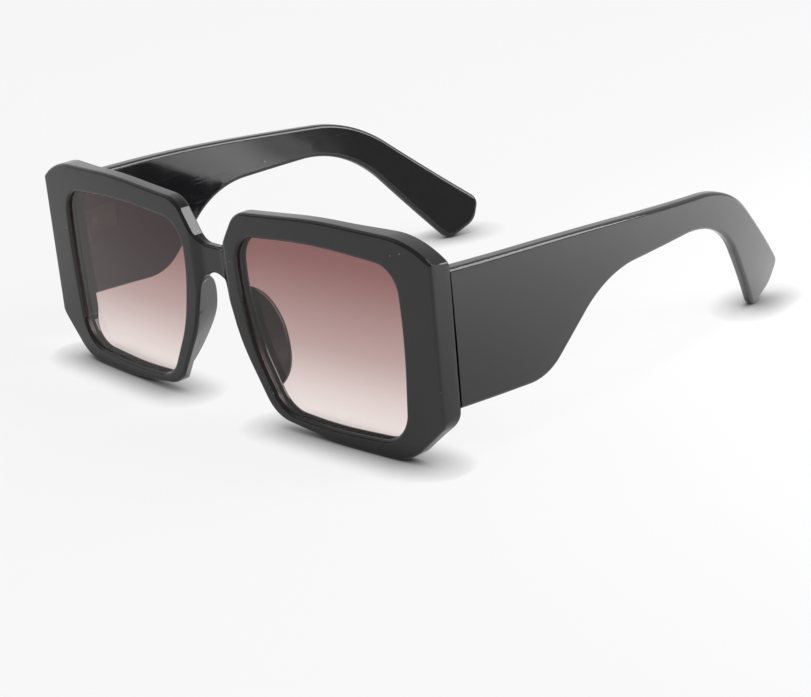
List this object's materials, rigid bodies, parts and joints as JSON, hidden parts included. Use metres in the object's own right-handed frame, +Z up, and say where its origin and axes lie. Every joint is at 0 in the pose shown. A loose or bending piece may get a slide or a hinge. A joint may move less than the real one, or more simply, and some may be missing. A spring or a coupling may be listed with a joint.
{
  "type": "oversized square sunglasses",
  "caption": "Oversized square sunglasses with a thick wrapped plastic front, gradient tinted lenses, fixed nose pads and wide bowed temples that fold on pin hinges.",
  "frame": {"origin": "centre of the bounding box's underside: on the table, on the plane of symmetry, half way between the front and the temple tips", "axes": "+X to the wearer's left, +Y back along the temples, +Z up; the lenses face -Y"},
  "size_m": [0.1454, 0.1344, 0.0514],
  "materials": {
    "black_acetate": "polished black, mirror gloss with faint handling scratches",
    "tinted_lens": "clear, rose brown tint at the top fading to pale beige at the bottom",
    "hinge_steel": "blackened steel, finely brushed",
    "screw_steel": "blackened steel, turned"
  },
  "bodies": {
    "front": {"front_frame": "black_acetate", "front_plate_screws": "screw_steel", "left_lens": "tinted_lens", "left_nose_pad": "black_acetate", "left_front_hinge_plate": "hinge_steel", "left_hinge_screw": "screw_steel", "right_lens": "tinted_lens", "right_nose_pad": "black_acetate", "right_front_hinge_plate": "hinge_steel", "right_hinge_screw": "screw_steel"},
    "left_temple": {"left_temple": "black_acetate", "left_temple_core": "hinge_steel", "left_temple_hinge_plate": "hinge_steel", "left_temple_plate_screws": "screw_steel"},
    "right_temple": {"right_temple": "black_acetate", "right_temple_core": "hinge_steel", "right_temple_hinge_plate": "hinge_steel", "right_temple_plate_screws": "screw_steel"}
  },
  "joints": [
    {"name": "left_temple_fold", "type": "hinge", "parent": "front", "child": "left_temple", "pos_m": [0.0655, -0.05711, 0.03175], "axis": [0, 0, 1], "range_deg": [0, 83.7]},
    {"name": "right_temple_fold", "type": "hinge", "parent": "front", "child": "right_temple", "pos_m": [-0.0655, -0.05711, 0.03175], "axis": [0, 0, -1], "range_deg": [0, 70]}
  ]
}
